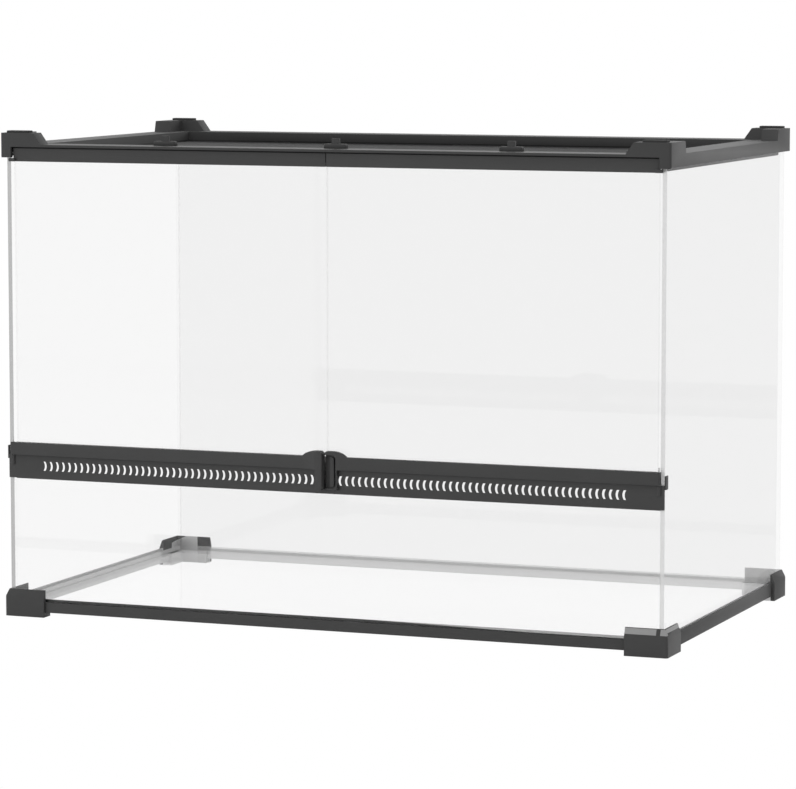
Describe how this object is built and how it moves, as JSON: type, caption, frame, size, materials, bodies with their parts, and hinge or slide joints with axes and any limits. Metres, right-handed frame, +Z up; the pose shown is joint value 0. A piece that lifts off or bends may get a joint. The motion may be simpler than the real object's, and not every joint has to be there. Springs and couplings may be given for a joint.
{
  "type": "reptile terrarium",
  "caption": "Rectangular glass terrarium with two hinged front doors, a slotted vent bar, black moulded corners and a screen top held by latches.",
  "frame": {"origin": "on the floor under the centre of the glass box, which is the middle of the part's box to within the depth of the door handles; the feet stand on z = 0", "axes": "+X to the right as seen from the front, +Y towards the back pane, +Z up; the doors face -Y"},
  "size_m": [0.5072, 0.3055, 0.3548],
  "materials": {
    "clear_glass": "clear",
    "black_plastic": "fine satin",
    "pad_rubber": "matte",
    "steel": "brushed",
    "magnet_nickel": "plated",
    "screen_wire": "matte black"
  },
  "bodies": {
    "tank": {"floor_glass": "clear_glass", "back_glass": "clear_glass", "front_lower_glass": "clear_glass", "left_glass": "clear_glass", "right_glass": "clear_glass", "foot_front_left": "black_plastic", "foot_front_right": "black_plastic", "foot_back_left": "black_plastic", "foot_back_right": "black_plastic", "front_bottom_rail": "black_plastic", "back_bottom_rail": "black_plastic", "left_bottom_rail": "black_plastic", "right_bottom_rail": "black_plastic", "top_frame": "black_plastic", "stacking_pad_front_left": "pad_rubber", "stacking_pad_front_right": "pad_rubber", "stacking_pad_back_left": "pad_rubber", "stacking_pad_back_right": "pad_rubber", "vent_bar": "black_plastic", "left_strike_plate": "steel", "right_strike_plate": "steel", "left_top_hinge_pin": "steel", "left_bottom_hinge_pin": "steel", "right_top_hinge_pin": "steel", "right_bottom_hinge_pin": "steel"},
    "left_door": {"left_door_glass": "clear_glass", "left_door_top_trim": "black_plastic", "left_door_bottom_trim": "black_plastic", "left_door_magnet": "magnet_nickel"},
    "right_door": {"right_door_glass": "clear_glass", "right_door_top_trim": "black_plastic", "right_door_bottom_trim": "black_plastic", "right_door_magnet": "magnet_nickel"},
    "screen_top": {"screen_frame": "black_plastic", "screen_mesh": "screen_wire"},
    "latch_left": {"screen_latch_left": "black_plastic"},
    "latch_middle": {"screen_latch_middle": "black_plastic"},
    "latch_right": {"screen_latch_right": "black_plastic"}
  },
  "joints": [
    {"name": "left_door_hinge", "type": "hinge", "parent": "tank", "child": "left_door", "pos_m": [-0.2463, -0.1485, 0.226], "axis": [0, 0, -1], "range_deg": [0, 105]},
    {"name": "right_door_hinge", "type": "hinge", "parent": "tank", "child": "right_door", "pos_m": [0.2463, -0.1485, 0.226], "axis": [0, 0, 1], "range_deg": [0, 105]},
    {"name": "screen_tilt", "type": "hinge", "parent": "tank", "child": "screen_top", "pos_m": [0, 0.1244, 0.3374], "axis": [-1, 0, 0], "range_deg": [0, 30]},
    {"name": "latch_slide_left", "type": "slide", "parent": "tank", "child": "latch_left", "axis": [0, -1, 0], "range_m": [-0.0028, 0]},
    {"name": "latch_slide_middle", "type": "slide", "parent": "tank", "child": "latch_middle", "axis": [0, -1, 0], "range_m": [-0.0028, 0]},
    {"name": "latch_slide_right", "type": "slide", "parent": "tank", "child": "latch_right", "axis": [0, -1, 0], "range_m": [-0.0028, 0]}
  ]
}
